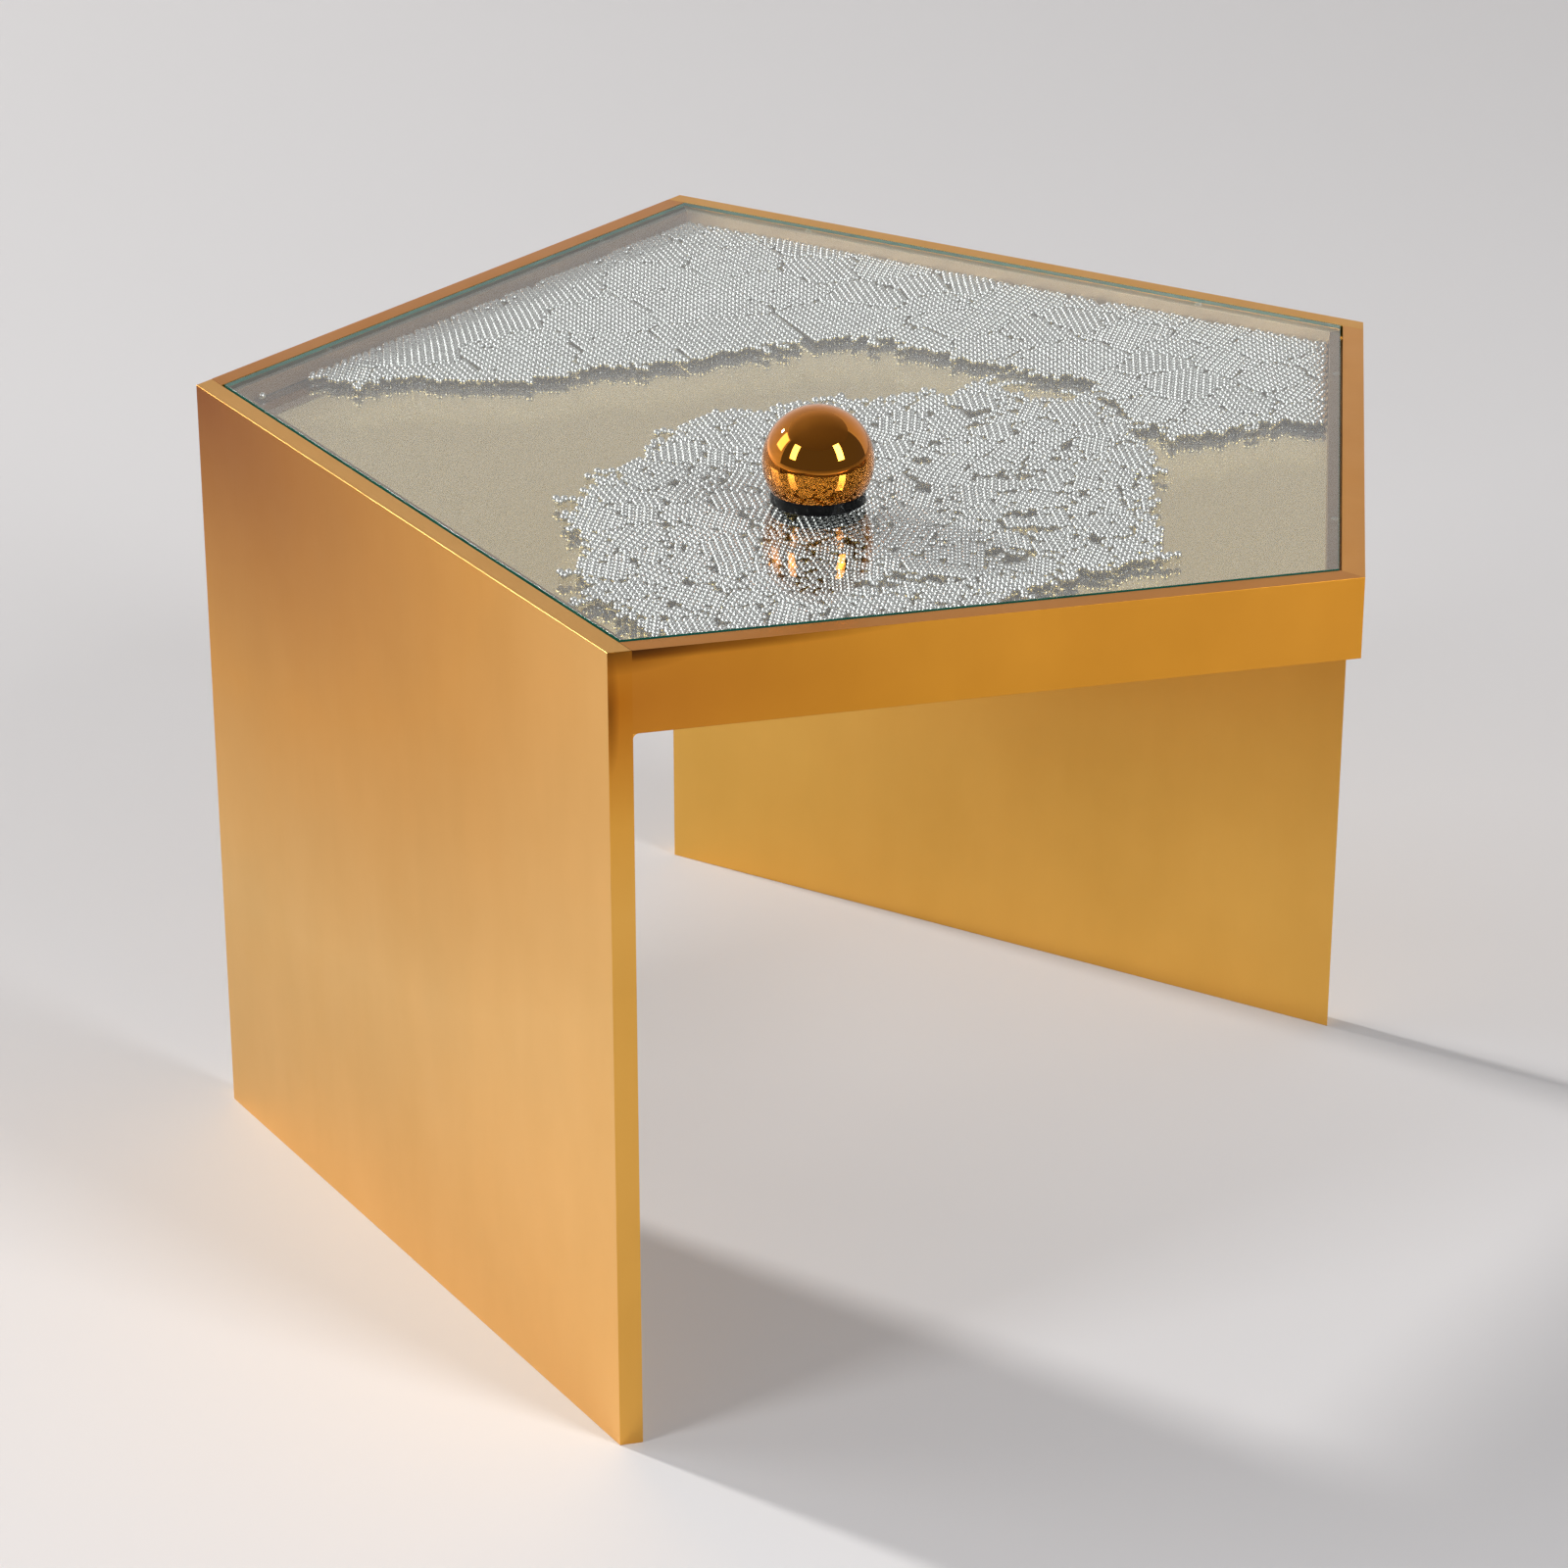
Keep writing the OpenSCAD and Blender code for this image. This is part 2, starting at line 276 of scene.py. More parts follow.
def clear_rubber():
    look = Look("clear_bumper")
    shader = look.principled(
        Base_Color=look.ramp(look.grain(0.002), (0.3, (0.86, 0.88, 0.87)), (0.7, (0.92, 0.93, 0.92))),
        Roughness=0.25, IOR=1.41, Transmission_Weight=0.9,
    )
    return look.lit_through(shader, (0.85, 0.87, 0.86))


# The left corner of the rim, and the joint of left leg panel and front apron, in metres
LEFT_CORNER = (-0.339, 0.081, 0.457)
JOINT_X, FRONT_Y, RIM_Z = -0.199, -0.358, 0.457
# Painted shade at the joint: a wide, warm, darker patch, and a darker one under the rim
JOINT_PAINTED_SHADE = [
    ((JOINT_X, FRONT_Y, RIM_Z - 0.027), (0.17, 0.1, 0.07), (0.74, 0.6, 0.55), (0.88, 0.82, 0.78)),
    ((JOINT_X, FRONT_Y, RIM_Z), (0.05, 0.1, 0.013), (0.3, 0.26, 0.16), (0.66, 0.6, 0.45)),
]
# Painted reflection and shade on the panel's end: the apron's warm tone fades downwards, and a dark wedge
# of painted shade runs down the outer edge.
END_PAINTED_SHADE = [
    ((JOINT_X + 0.006, FRONT_Y, RIM_Z - 0.027), (0.1, 0.1, 0.12), (0.91, 0.7, 0.2), (0.96, 0.88, 0.68)),
    ((JOINT_X + 0.001, FRONT_Y, RIM_Z - 0.032), (0.005, 0.1, 0.036), (0.5, 0.46, 0.32), (0.76, 0.71, 0.6)),
]
# On the apron, a thin dark line of painted shade runs along under the rim.
APRON_PAINTED_SHADE = [
    ((JOINT_X, FRONT_Y, RIM_Z - 0.0005), (0.15, 0.1, 0.006), (0.2, 0.16, 0.08), (0.5, 0.43, 0.3)),
]
# Painted shade on the left panel: upright faces get darker and warmer towards the rim's left corner.
CORNER_PAINTED_SHADE = [(LEFT_CORNER, (0.6, 0.6, 0.31), (0.32, 0.13, 0.0), (0.8, 0.63, 0.36))]

BRASS = satin_brass("frame_brass", (0.83, 0.4, 0.058), (0.92, 0.455, 0.075))
# Lit and shaded copies of the one brass: each piece's tone is painted lighter or darker for how light
# falls on it, and some carry painted shade.
BRASS_LEFT_PAINTED_LIGHT = satin_brass(
    "frame_brass_left_painted_light", (0.88, 0.53, 0.18), (0.96, 0.58, 0.21), CORNER_PAINTED_SHADE, glance=(1.0, 0.94, 0.82),
)
BRASS_END_PAINTED_SHADE = satin_brass(
    "frame_brass_end_painted_shade", (0.76, 0.4, 0.075), (0.83, 0.44, 0.09), JOINT_PAINTED_SHADE + END_PAINTED_SHADE,
)
BRASS_BACK_PAINTED_SHADE = satin_brass("frame_brass_back_painted_shade", (0.68, 0.29, 0.03), (0.76, 0.33, 0.04))
BRASS_REAR_PAINTED_LIGHT = satin_brass("frame_brass_rear_painted_light", (0.88, 0.495, 0.1), (0.97, 0.555, 0.12))
BRASS_FRONT_PAINTED_SHADE = satin_brass(
    "frame_brass_front_painted_shade", (0.7, 0.3, 0.026), (0.78, 0.34, 0.036), JOINT_PAINTED_SHADE + APRON_PAINTED_SHADE,
)
# Shaded and lit copies of the one ledge finish: the dark taupe is painted shade, and the gold on the rear
# ledge is painted light.
LEDGE_PAINTED_SHADE = plain("ledge_taupe_painted_shade", ((0.2, 0.105, 0.042), (0.24, 0.13, 0.055)), 0.06, metallic=0.85, rough=0.42)
LEDGE_PAINTED_LIGHT = plain("ledge_gold_painted_light", ((0.6, 0.42, 0.24), (0.68, 0.48, 0.28)), 0.06, metallic=0.85, rough=0.4)
ZINC = plain(
    "zinc_steel", ((0.5, 0.51, 0.52), (0.62, 0.63, 0.64)), 0.012,
    metallic=1.0, rough=0.36, grit=0.0015,
)
NICKEL = plain("magnet_nickel", ((0.58, 0.57, 0.55), (0.68, 0.67, 0.65)), 0.01, metallic=1.0, rough=0.18)
BOARD = plain("board_black", ((0.018,) * 3, (0.03,) * 3), 0.05, rough=0.6, grit=0.003, bump=0.3)
FELT = plain(
    "felt_black", ((0.008, 0.008, 0.009), (0.02, 0.02, 0.021)), 0.002,
    rough=0.95, grit=0.0006, bump=0.8,
)
RING = plain(
    "ring_black", ((0.003, 0.003, 0.0035), (0.006, 0.006, 0.0065)), 0.01,
    rough=0.34, grit=0.0008, bump=0.1, shine=0.12,
)
STEEL = ball_steel()
SPHERE = polished_bronze()
MIRROR = bronze_mirror()
TOP_GLASS = float_glass("top_glass", tint=(0.3, 0.88, 0.66), density=3.2, shade=(0.95, 0.955, 0.95))
PANE_GLASS = float_glass("pane_glass", tint=(0.8, 0.92, 0.84), density=3.0, shade=(0.96, 0.97, 0.96))
GLASS_EDGE = glass_edge()
BUMPER = clear_rubber()

DRESS = {
    "leg_panel_left": BRASS_LEFT_PAINTED_LIGHT, "leg_panel_rear": BRASS_REAR_PAINTED_LIGHT, "apron_front": BRASS_FRONT_PAINTED_SHADE,
    "apron_right": BRASS, "apron_back": BRASS_BACK_PAINTED_SHADE, "joint_fillets": BRASS, "tray_lugs": ZINC,
    "tray_screws": ZINC, "tray_board": BOARD, "mirror_sheet": MIRROR, "floor_pane": PANE_GLASS,
    "ledge_back": LEDGE_PAINTED_SHADE, "ledge_rear": LEDGE_PAINTED_LIGHT, "ledge_right": LEDGE_PAINTED_SHADE, "ledge_front": LEDGE_PAINTED_SHADE,
    "ledge_left": LEDGE_PAINTED_SHADE, "glass_bumpers": BUMPER, "glass_top": TOP_GLASS, "stray_ball": STEEL,
    "felt_pad": FELT, "base_ring": RING, "disc_magnet": NICKEL, "keeper_plate": ZINC,
    "sphere_shell": SPHERE, "magnet_screw": ZINC, "rear_ball_bed": STEEL, "magnet_ball_cluster": STEEL,
}
for letter in "abcde":
    DRESS["corner_gusset_" + letter] = ZINC
for name, material in DRESS.items():
    nodes[name].data.materials.clear()
    nodes[name].data.materials.append(material)


def second_skin(name, material, chosen):
    """Gives the faces that chosen(normal) picks a second material."""
    mesh = nodes[name].data
    mesh.materials.append(material)
    for face in mesh.polygons:
        face.material_index = 1 if chosen(face.normal) else 0


# The front end of the left leg panel is brazed flush with the front apron. Its end face takes a darker
# copy of the brass, with painted shade.
second_skin("leg_panel_left", BRASS_END_PAINTED_SHADE, lambda normal: normal.y < -0.9)
second_skin("glass_top", GLASS_EDGE, lambda normal: abs(normal.z) < 0.5)


# ---------------------------------------------------------------- CAD pieces

def shape_of(name):
    mesh = nodes[name].data
    return BVHTree.FromPolygons([v.co for v in mesh.vertices], [f.vertices for f in mesh.polygons])


TOUCH = 0.1 * MM


def soften(name, width, segments=2, joined=()):
    """Rounds a CAD piece's free sharp edges with modifiers. Edges that meet a joined piece stay flush."""
    piece = nodes[name]
    mesh = piece.data
    others = [shape_of(other) for other in joined if other != name]
    uses = {}
    for face in mesh.polygons:
        face.use_smooth = True
        for key in face.edge_keys:
            uses[key] = uses.get(key, 0) + 1
    weights = mesh.attributes.new("bevel_weight_edge", "FLOAT", "EDGE")
    for edge in mesh.edges:
        first, last = (mesh.vertices[k].co for k in edge.vertices)
        sharp = uses.get(edge.key, 0) == 1
        marks = [first.lerp(last, t) for t in (0.08, 0.3, 0.5, 0.7, 0.92)]
        flush = any(tree.find_nearest(m, TOUCH)[0] is not None for tree in others for m in marks)
        weights.data[edge.index].value = 1.0 if sharp and not flush else 0.0
    weld = piece.modifiers.new("weld", "WELD")
    weld.merge_threshold = 0.01 * MM
    bevel = piece.modifiers.new("bevel", "BEVEL")
    bevel.width = width * MM
    bevel.segments = segments
    bevel.limit_method = "WEIGHT"
    split = piece.modifiers.new("split", "EDGE_SPLIT")
    split.split_angle = math.radians(60)
    split.use_edge_sharp = False
    shade = piece.modifiers.new("shade", "WEIGHTED_NORMAL")
    shade.weight = 80


FRAME_PLATES = ("leg_panel_left", "leg_panel_rear", "apron_front", "apron_right", "apron_back")
for name in FRAME_PLATES:
    soften(name, 0.3, 2, FRAME_PLATES)
LEDGES = ("ledge_back", "ledge_rear", "ledge_right", "ledge_front", "ledge_left")
for name in LEDGES:
    soften(name, 0.3, 2, LEDGES)
soften("glass_top", 0.25, 1)
nodes["glass_top"].modifiers["bevel"].material = 1  # the edge material, its second one

# The pane and the mirror touch. A hair of air between them keeps both surfaces clean.
air = nodes["floor_pane"].modifiers.new("air", "DISPLACE")
air.strength = -0.02 * MM
air.mid_level = 0.0


# ---------------------------------------------------------------- loose balls

BALL_LOW, BALL_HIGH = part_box("stray_ball")
BALL_D = (BALL_HIGH.z - BALL_LOW.z) / MM
BALL_Z = (BALL_HIGH.z + BALL_LOW.z) / 2
# Distance between balls as they are packed, as they settle, and the least that is kept
PITCH = BALL_D * 1.008
SETTLED = BALL_D * 1.003
LEAST = BALL_D * 0.975
# How far the ledges stand out from the plates, and the gap between plates and pane
LEDGE_W, PANE_GAP = 7.5, 1.0


def corners_of(name):
    """Plan corners of an upright prism node, in mm, anticlockwise."""
    points = {(round(v.co.x / MM, 2), round(v.co.y / MM, 2)) for v in nodes[name].data.vertices}
    ring = np.array(sorted(points))
    centre = ring.mean(0)
    turn = np.arctan2(ring[:, 1] - centre[1], ring[:, 0] - centre[0])
    return ring[np.argsort(turn)]


# One wall of the tray starts at each corner of the pane and runs to the next.
CORNERS = corners_of("floor_pane")
WALL_ALONG = np.roll(CORNERS, -1, 0) - CORNERS
WALL_ALONG = WALL_ALONG / np.linalg.norm(WALL_ALONG, axis=1)[:, None]
WALL_IN = np.stack([-WALL_ALONG[:, 1], WALL_ALONG[:, 0]], 1)
# The pane stops short of the plates, so the ledges reach this far in over it.
WALL_REACH = LEDGE_W - PANE_GAP


def wall_gaps(p):
    """Distance of each point from each ledge, in mm, positive inside."""
    return np.stack([(p - s) @ n - WALL_REACH for s, n in zip(CORNERS, WALL_IN)], 1)


def inside(name, p):
    """Which points lie over the CAD slab of this name."""
    tree = shape_of(name)
    down, high = Vector((0, 0, -1)), BALL_Z + 0.05
    hits = [tree.ray_cast(Vector((x * MM, y * MM, high)), down)[0] is not None for x, y in p]
    return np.array(hits)


def wobble(p, size, seed):
    """Smooth plan noise at each point, two values from about -1 to 1."""
    return np.array([noise.noise_vector(Vector((x / size, y / size, seed)))[:2] for x, y in p])


def close_pairs(p, reach):
    """Index pairs of points nearer than reach."""
    cell = np.floor(p / reach).astype(np.int64)
    cell -= cell.min(0) - 1
    width = cell[:, 1].max() + 2
    key = cell[:, 0] * width + cell[:, 1]
    order = np.argsort(key, kind="stable")
    ranked = key[order]
    found = []
    for dx, dy in ((0, 0), (0, 1), (1, -1), (1, 0), (1, 1)):
        wanted = key + dx * width + dy
        low = np.searchsorted(ranked, wanted, "left")
        high = np.searchsorted(ranked, wanted, "right")
        for step in range(int((high - low).max())):
            first = np.nonzero(low + step < high)[0]
            second = order[low[first] + step]
            keep = ((p[first] - p[second]) ** 2).sum(1) < reach * reach
            if dx == 0 and dy == 0:
                keep &= first < second
            found.append(np.stack([first[keep], second[keep]], 1))
    return np.concatenate(found)


def hex_patch(centre, angle, radius, pitch):
    """A patch of close-packed points about centre, rows at this angle in degrees."""
    count = int(radius / pitch) + 2
    i, j = np.meshgrid(np.arange(-count, count + 1), np.arange(-count, count + 1))
    x = (i + 0.5 * (j % 2)) * pitch
    y = j * pitch * math.sqrt(0.75)
    a = math.radians(angle)
    turned = np.stack([x * math.cos(a) - y * math.sin(a), x * math.sin(a) + y * math.cos(a)], -1)
    p = turned.reshape(-1, 2) + centre
    return p[((p - centre) ** 2).sum(1) < radius * radius]


def bent_rows(spot, angle, bend, reach, pitch):
    """Close-packed rows that curl gently, bend is the radius in mm."""
    u, v = hex_patch(np.zeros(2), 0.0, reach, pitch).T
    x = bend * np.sin(u / bend) - v * np.sin(u / bend)
    y = bend * (1 - np.cos(u / bend)) + v * np.cos(u / bend)
    a = math.radians(angle)
    return spot + np.stack([x * math.cos(a) - y * math.sin(a), x * math.sin(a) + y * math.cos(a)], 1)


def settle(p, pitch, rounds=60):
    """Pushes overlapping balls apart and away from the ledges."""
    for _ in range(rounds):
        pairs = close_pairs(p, pitch)
        if not len(pairs):
            break
        a, b = pairs.T
        gap = p[a] - p[b]
        far = np.maximum(np.linalg.norm(gap, axis=1), 1e-6)
        push = gap / far[:, None] * ((pitch - far) * 0.5)[:, None]
        move = np.zeros_like(p)
        np.add.at(move, a, push)
        np.add.at(move, b, -push)
        p = p + np.clip(move, -0.6, 0.6)
        for start, normal in zip(CORNERS, WALL_IN):
            short = BALL_D / 2 - ((p - start) @ normal - WALL_REACH)
            p += np.where(short > 0, short, 0.0)[:, None] * normal
    return p


def thin_out(p, least):
    """Drops one ball of each pair that still overlaps."""
    pairs = close_pairs(p, least)
    drop = np.zeros(len(p), bool)
    for a, b in pairs:
        if not drop[a] and not drop[b]:
            drop[b] = True
    return p[~drop]


def merge(groups, least):
    """Joins patches, earlier ones first, leaving out points that crowd an accepted one."""
    kept = groups[0]
    for extra in groups[1:]:
        both = np.concatenate([kept, extra])
        pairs = close_pairs(both, least)
        drop = np.zeros(len(both), bool)
        for a, b in pairs:
            late = max(a, b)
            if late >= len(kept):
                drop[late] = True
        kept = both[~drop]
    return kept


def scatter(tries, seeds, spacing, angle_at):
    """Adds a seed at each try that keeps its distance from every seed so far."""
    for q in tries:
        if all((q[0] - s[0]) ** 2 + (q[1] - s[1]) ** 2 > spacing ** 2 for s in seeds):
            seeds.append((q[0], q[1], angle_at(q)))


def grains(name, seeds, ragged, seed, curled=None):
    """Fills a CAD slab's outline with grains of close-packed balls.

    Each grain grows from a seed (x, y, angle of its rows). Without an angle it takes the curled rows.
    """
    centres = np.array([s[:2] for s in seeds], float)
    groups = []
    for k, (x, y, angle) in enumerate(seeds):
        near = np.sort(np.linalg.norm(centres - centres[k], axis=1))
        radius = min(240.0, near[min(len(near) - 1, 5)] + 30)
        if angle is None:
            p = curled
        else:
            offset = rng.uniform(-PITCH, PITCH, 2)
            p = hex_patch(np.array([x, y]) + offset, angle, radius, PITCH)
        warped = p + wobble(p, 22.0, seed + 3.0) * 7.0
        owner = np.linalg.norm(warped[:, None] - centres[None], axis=2)
        groups.append(p[owner[:, k] <= owner.min(1) + 1.2])
    p = merge(groups, PITCH * 0.86)
    p = p[(wall_gaps(p) > BALL_D * 0.3).all(1)]
    moved = p + wobble(p, 8.0, seed) * ragged + wobble(p, 30.0, seed + 9.0) * ragged
    return p[inside(name, moved)]


def chains(p, count, seed, reach):
    """Short arms of up to this many balls that stick out of a free edge, some with a twig."""
    local = np.random.default_rng(seed)
    step_out = BALL_D * 1.01
    clear = step_out * 0.93
    pairs = close_pairs(p, step_out * 1.25)
    degree = np.bincount(pairs.ravel(), minlength=len(p))
    centre = np.zeros_like(p)
    np.add.at(centre, pairs[:, 0], p[pairs[:, 1]])
    np.add.at(centre, pairs[:, 1], p[pairs[:, 0]])
    gaps = wall_gaps(p).min(1)
    edge = np.nonzero((degree < 5) & (degree > 1) & (gaps > 12))[0]
    made = list(p)
    for k in local.permutation(edge)[:count]:
        out = p[k] - centre[k] / degree[k]
        heading = math.atan2(out[1], out[0]) + local.normal(0, 0.35)
        tip, length = p[k], int(local.integers(1, reach + 1))
        for step in range(length):
            heading += local.normal(0, 0.3)
            tip = tip + step_out * np.array([math.cos(heading), math.sin(heading)])
            near = np.linalg.norm(np.array(made) - tip, axis=1).min()
            if near < clear or wall_gaps(tip[None]).min() < BALL_D / 2:
                break
            made.append(tip)
            if step == 1 and local.random() < 0.5:
                side = heading + local.choice([-1.05, 1.05])
                twig = tip + step_out * np.array([math.cos(side), math.sin(side)])
                if np.linalg.norm(np.array(made) - twig, axis=1).min() >= clear:
                    made.append(twig)
    return np.array(made)


def punch(p, holes):
    """Clears balls from oval gaps given as (x, y, half length, half width, angle)."""
    for x, y, long, short, angle in holes:
        a = math.radians(angle)
        d = p - (x, y)
        u = d @ (math.cos(a), math.sin(a))
        v = d @ (-math.sin(a), math.cos(a))
        p = p[(u / long) ** 2 + (v / short) ** 2 > 1]
    return p


# The back wall of the tray, from corner A to corner B
CORNER_A = CORNERS[np.argmin(CORNERS[:, 0])]
CORNER_B = CORNERS[np.argmax(CORNERS[:, 1])]
WALL_ANGLE = math.degrees(math.atan2(*(CORNER_B - CORNER_A)[::-1]))


def rear_field():
    """The field along the back: long curled rows by the back wall, smaller grains to the right."""
    rows = bent_rows(np.array([-160.0, 185.0]), angle=WALL_ANGLE - 11, bend=716, reach=150, pitch=PITCH)
    tilt = -14.5
    seeds = [
        (-219, 137, None), (-184, 165, None), (-149, 193, None), (-114, 221, None), (-90, 241, None),
        (-262, 106, 12), (-215, 84, -20), (-140, 112, -15), (-85, 165, -13), (-88, 112, -17),
        (-48, 236, -14), (-28, 280, WALL_ANGLE - 4), (14, 306, WALL_ANGLE), (-30, 172, tilt),
        (-30, 122, -22), (34, 198, -16), (20, 250, -18), (62, 132, -20),
    ]
    low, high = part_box("rear_ball_bed")
    tries = rng.uniform((60, low.y / MM), (high.x / MM, high.y / MM), (500, 2))
    tries = tries[inside("rear_ball_bed", tries)]
    scatter(tries, seeds, 30.0, lambda q: tilt + rng.normal(0, 13))
    p = grains("rear_ball_bed", seeds, ragged=4.5, seed=5.0, curled=rows)
    p = thin_out(settle(p, SETTLED), LEAST)
    p = p[rng.random(len(p)) >= 0.004]
    return chains(p, count=160, seed=11, reach=2)


RING_LOW, RING_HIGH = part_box("base_ring")
MAGNET = np.round(np.array((RING_LOW + RING_HIGH)[:2]) / 2 / MM, 2)
# Gaps in the cluster, most of them on the magnet's right: x, y, half length, half width, angle
CLUSTER_HOLES = [
    (73, -150, 15, 4.6, -14), (64, -206, 14, 4.2, -8), (60, -227, 18, 4.6, -18), (36, -260, 13, 12, -20),
    (-12, -280, 20, 6, -20), (85, -52, 11, 7, -10), (32, -113, 7, 6, 0), (104, -130, 9, 5, -20),
    (22, -152, 7, 5, 30), (-40, -282, 13, 5, -14), (118, -112, 8, 4.5, 10), (96, -182, 12, 4, -24),
    (30, -190, 9, 3.8, -10), (84, -245, 10, 5, -30), (8, -236, 8, 4, 0), (50, -88, 8, 4.5, 40),
    (-100, -250, 6, 4, 20), (-84, -120, 6, 4, 60), (-128, -205, 5, 4, 0),
]


def round_the_magnet(q):
    """Angle of rows that run in rings about the magnet, with some scatter."""
    spread = q - MAGNET
    return math.degrees(math.atan2(spread[1], spread[0])) + 90 + rng.normal(0, 36)


def near_cluster():
    """The cluster that the magnet holds: small grains, with more gaps to the right and in front."""
    low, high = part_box("magnet_ball_cluster")
    seeds = []
    tries = rng.uniform((low.x / MM, low.y / MM), (high.x / MM, high.y / MM), (900, 2))
    scatter(tries, seeds, 19.0, round_the_magnet)
    p = punch(grains("magnet_ball_cluster", seeds, ragged=6.0, seed=8.0), CLUSTER_HOLES)
    p = thin_out(settle(p, SETTLED), LEAST)
    right = np.clip((p[:, 0] + 60) / 160, 0, 1)
    front = np.exp(-((p - (MAGNET + (10, -49))) ** 2).sum(1) / 42.0 ** 2)
    hollow = wobble(p, 8.0, 31.0)[:, 0] > 0.6 - 0.13 * right - 0.28 * front
    p = p[~(hollow | (rng.random(len(p)) < 0.008))]
    return chains(p, count=380, seed=17, reach=4)


def ball_mesh(name, centres, stands_for):
    """One piece of separate balls, each an icosphere, that rides on the table."""
    bm = bmesh.new()
    bmesh.ops.create_icosphere(bm, subdivisions=2, radius=BALL_D / 2 * MM)
    base = np.array([v.co for v in bm.verts])
    tris = np.array([[v.index for v in f.verts] for f in bm.faces])
    bm.free()
    count = len(centres)
    spin = rng.uniform(0, 2 * math.pi, count)
    c, s = np.cos(spin)[:, None], np.sin(spin)[:, None]
    x = base[:, 0] * c - base[:, 1] * s + centres[:, :1] * MM
    y = base[:, 0] * s + base[:, 1] * c + centres[:, 1:] * MM
    z = np.broadcast_to(base[:, 2] + BALL_Z, x.shape)
    co = np.stack([x, y, z], -1).reshape(-1, 3)
    faces = (tris[None] + (np.arange(count) * len(base))[:, None, None]).reshape(-1)
    total = len(faces) // 3
    mesh = bpy.data.meshes.new(name)
    mesh.vertices.add(len(co))
    mesh.vertices.foreach_set("co", co.astype(np.float32).ravel())
    mesh.loops.add(len(faces))
    mesh.loops.foreach_set("vertex_index", faces.astype(np.int32))
    mesh.polygons.add(total)
    mesh.polygons.foreach_set("loop_start", np.arange(0, total * 3, 3, dtype=np.int32))
    mesh.polygons.foreach_set("use_smooth", np.ones(total, bool))
    mesh.update(calc_edges=True)
    mesh.materials.append(STEEL)
    piece = bpy.data.objects.new(name, mesh)
    bpy.context.scene.collection.objects.link(piece)
    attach(piece, "table")
    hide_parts(stands_for)


MOST_BALLS = 2300


def lay_balls(centres, name, stands_for):
    """Splits a field into pieces of limited size, from left to right."""
    parts = math.ceil(len(centres) / MOST_BALLS)
    ranked = centres[np.argsort(centres[:, 0], kind="stable")]
    for k, part in enumerate(np.array_split(ranked, parts)):
        ball_mesh(f"{name}_{k + 1}", part, stands_for)


REAR = rear_field()
NEAR = near_cluster()
lay_balls(REAR, "rear_balls", "rear_ball_bed")
lay_balls(NEAR, "cluster_balls", "magnet_ball_cluster")
print("balls", len(REAR), len(NEAR))


# ---------------------------------------------------------------- studio

def staged(name, verts, faces, material, smooth=True):
    mesh = bpy.data.meshes.new(name)
    mesh.from_pydata(verts, [], faces)
    mesh.materials.append(material)
    for face in mesh.polygons:
        face.use_smooth = smooth
    made = bpy.data.objects.new(name, mesh)
    bpy.context.scene.collection.objects.link(made)
    return made


PAPER_GLOW = (1.0, 0.98, 0.965)


def paper(name, tone, glow=0.0, fade=None):
    """Pale matt paper, which may glow. With fade it glows from dim to full along Y, -fade to fade."""
    look = Look(name)
    brighter = tuple(c * 1.01 for c in tone)
    shader = look.principled(
        Base_Color=look.ramp(look.grain(1.4, 1.0), (0.3, tone), (0.7, brighter)),
        Roughness=0.9, Specular_IOR_Level=0.15,
    )
    if glow:
        look.put(shader.inputs["Emission Color"], PAPER_GLOW)
        look.put(shader.inputs["Emission Strength"], glow)
        look.material.cycles.emission_sampling = "NONE"
    if fade:
        along = look.span(look.axis("Object", "Y"), 0.0, 1.0, -fade, fade)
        dim, middle, near_back = (0.16, 0.15, 0.15), (0.18, 0.17, 0.17), (0.4, 0.39, 0.38)
        glowing = look.ramp(along, (0.0, dim), (0.5, middle), (0.74, near_back), (1.0, PAPER_GLOW))
        look.put(shader.inputs["Emission Color"], glowing)
    return look.done(shader)


def disc(name, radius, height, material, turn=1, steps=96):
    """A round flat sheet. Turn -1 makes it face down."""
    angles = np.linspace(0, 2 * math.pi, steps, endpoint=False)
    rim = [(radius * math.cos(t), turn * radius * math.sin(t), height) for t in angles]
    return staged(name, rim, [list(range(steps))], material, smooth=False)


disc("studio_floor", 22.0, 0.0, paper("floor_paper", (0.79, 0.775, 0.78)))

# Pale wall round the back and sides, with a cove at its foot
WALL_R, WALL_H, COVE = 14.0, 11.9, 2.1
bend = np.linspace(0, math.pi / 2, 8)
profile = [(WALL_R - COVE + COVE * math.sin(t), COVE - COVE * math.cos(t)) for t in bend]
profile += [(WALL_R, h) for h in np.linspace(COVE + 0.3, WALL_H, 6)]
arc = np.radians(np.linspace(8, 173, 60))
FLOOR_GAP = 0.001
wall_verts = [(r * math.cos(t), r * math.sin(t), h + FLOOR_GAP) for t in arc for r, h in profile]
rows = len(profile)
wall_faces = [
    (a * rows + b, a * rows + b + 1, (a + 1) * rows + b + 1, (a + 1) * rows + b)
    for a in range(len(arc) - 1) for b in range(rows - 1)
]
staged("studio_wall", wall_verts, wall_faces, paper("wall_paper", (0.8, 0.785, 0.775), glow=0.25))

# A ceiling for the polished metal to mirror, dim but for its back. It sheds no light on the floor.
ceiling_paper = paper("ceiling_paper", (0.14, 0.14, 0.14), glow=0.5, fade=WALL_R)
ceiling = disc("studio_ceiling", WALL_R, WALL_H, ceiling_paper, turn=-1)
ceiling.visible_diffuse = False
ceiling.visible_shadow = False


TABLE_MIDDLE = Vector((0, 0, 0.42))


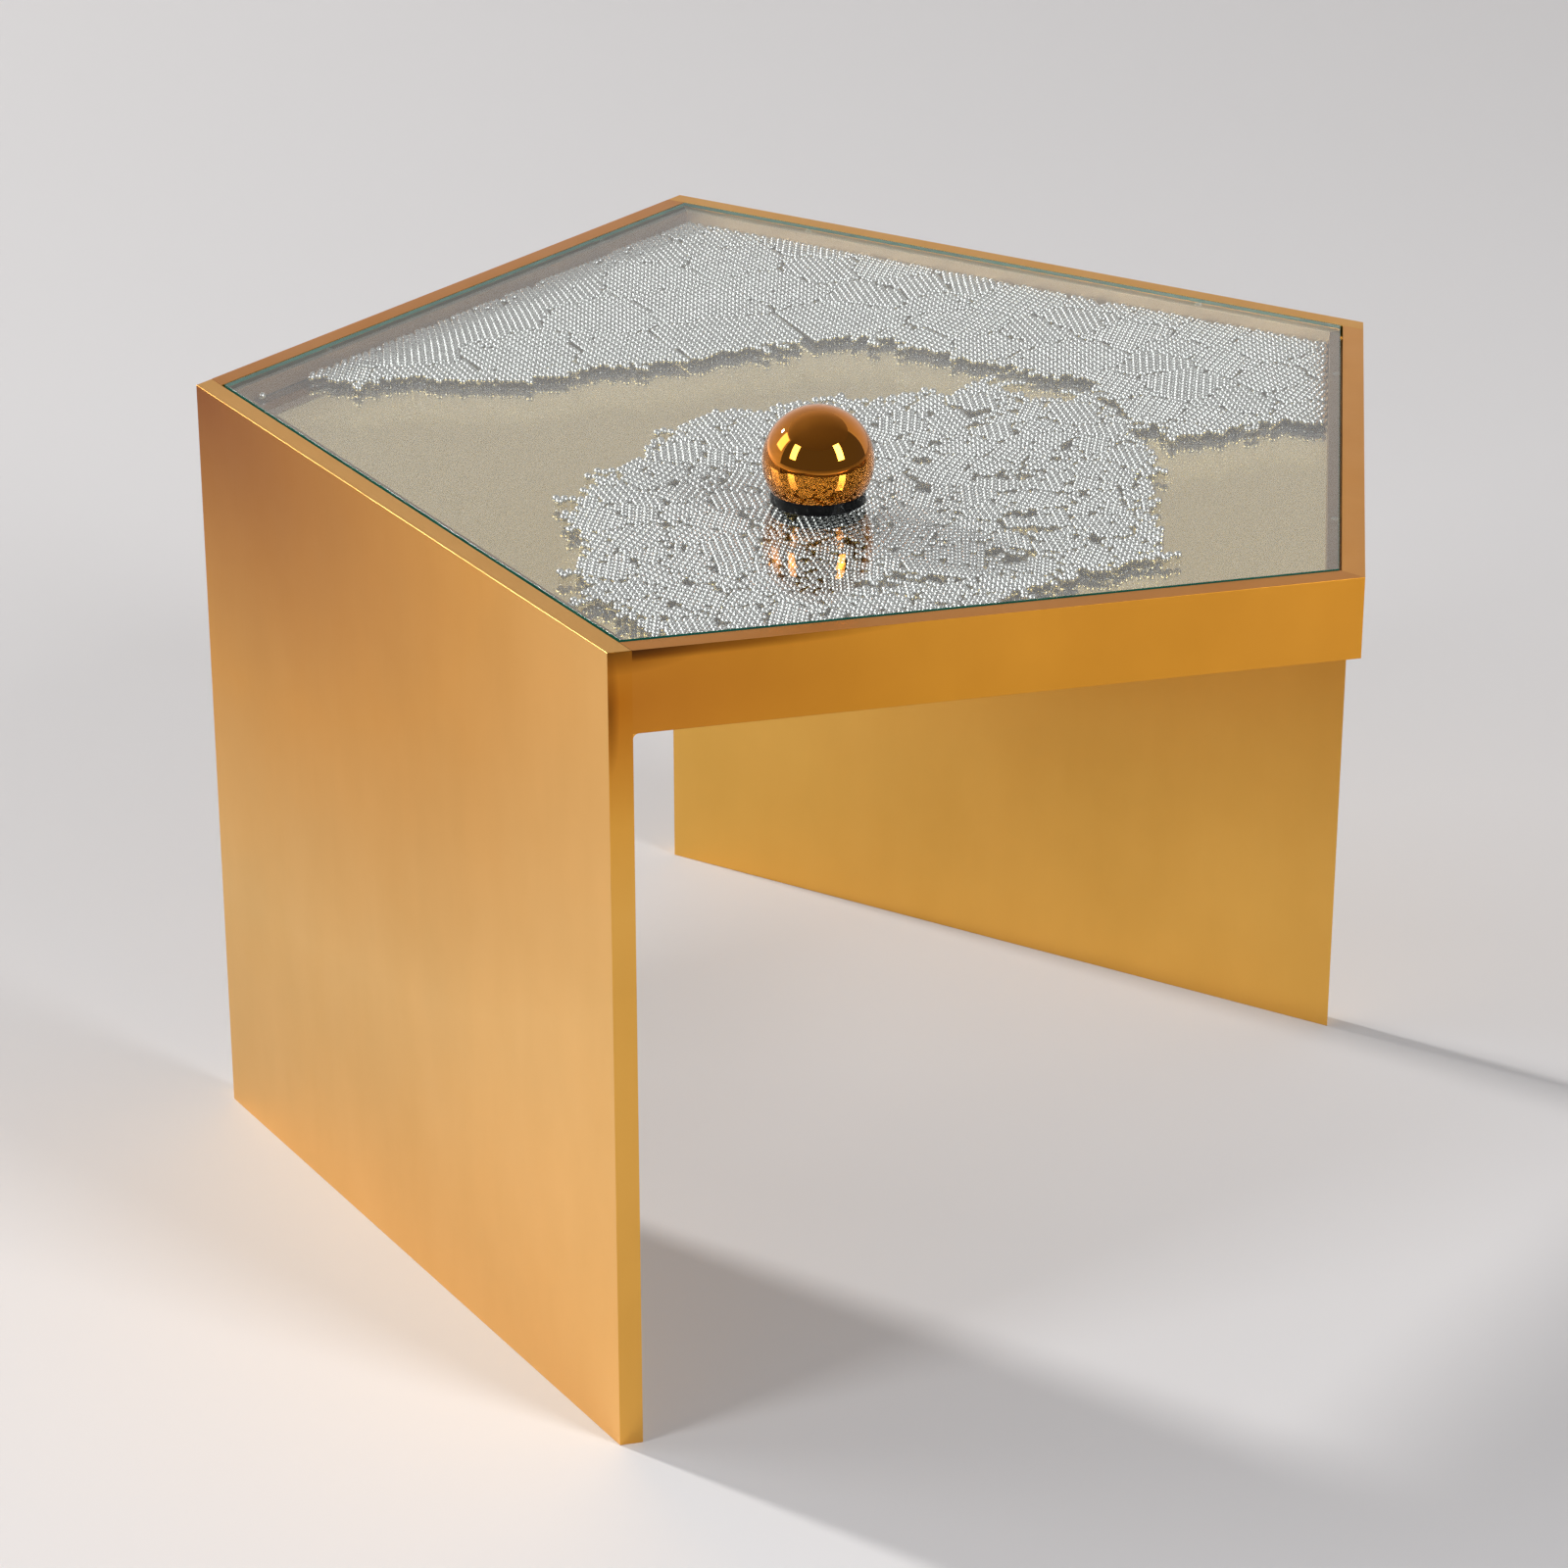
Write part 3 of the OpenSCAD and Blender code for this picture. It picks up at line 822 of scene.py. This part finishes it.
def lamp(name, azimuth, elevation, distance, power, colour, size, height=None):
    """An area lamp seen from the table at this azimuth and elevation: a disc, or a sheet with a height."""
    light = bpy.data.lights.new(name, "AREA")
    light.shape = "RECTANGLE" if height else "DISK"
    light.size = size
    if height:
        light.size_y = height
    light.energy = power
    light.color = colour
    made = bpy.data.objects.new(name, light)
    bpy.context.scene.collection.objects.link(made)
    a, e = math.radians(azimuth), math.radians(elevation)
    back = Vector((math.sin(a) * math.cos(e), -math.cos(a) * math.cos(e), math.sin(e)))
    made.location = TABLE_MIDDLE + back * distance
    made.rotation_mode = "QUATERNION"
    made.rotation_quaternion = back.to_track_quat("Z", "Y")


lamp("key", -138, 28, 12.5, power=1010, colour=(1.0, 0.985, 0.96), size=0.92)
lamp("soft_left", -112, 27, 5.0, power=32, colour=(1.0, 0.99, 0.97), size=1.8, height=2.0)
lamp("window_left", -68, 27, 3.2, power=28, colour=(0.97, 0.985, 1.0), size=0.75, height=1.5)
lamp("window_right", 33, 29, 3.6, power=66, colour=(0.98, 0.99, 1.0), size=0.85, height=1.9)

world = bpy.data.worlds.new("room")
bpy.context.scene.world = world
world.use_nodes = True
backdrop = world.node_tree.nodes["Background"]
backdrop.inputs["Color"].default_value = (0.93, 0.95, 1.0, 1.0)
backdrop.inputs["Strength"].default_value = 0.125
world.cycles.sampling_method = "NONE"

# Loose balls under glass carry very fine detail, which a filtered denoising guide would smear.
bpy.context.scene.cycles.denoising_prefilter = "NONE"
bpy.context.scene.cycles.sample_clamp_indirect = 6.0

view = bpy.context.scene.view_settings
view.view_transform = "Standard"
view.look = "None"
view.exposure = 0.0

camera = bpy.data.cameras.new("camera")
camera.lens = 111.24
camera.sensor_width = 36.0
camera.clip_end = 60.0
eye = bpy.data.objects.new("camera", camera)
bpy.context.scene.collection.objects.link(eye)
eye.location = (-0.664997, -2.508950, 1.385302)
tilt = math.radians(24.434)
sight = Vector((0.25029 * math.cos(tilt), 0.96817 * math.cos(tilt), -math.sin(tilt)))
eye.rotation_mode = "QUATERNION"
eye.rotation_quaternion = sight.to_track_quat("-Z", "Y")
bpy.context.scene.camera = eye
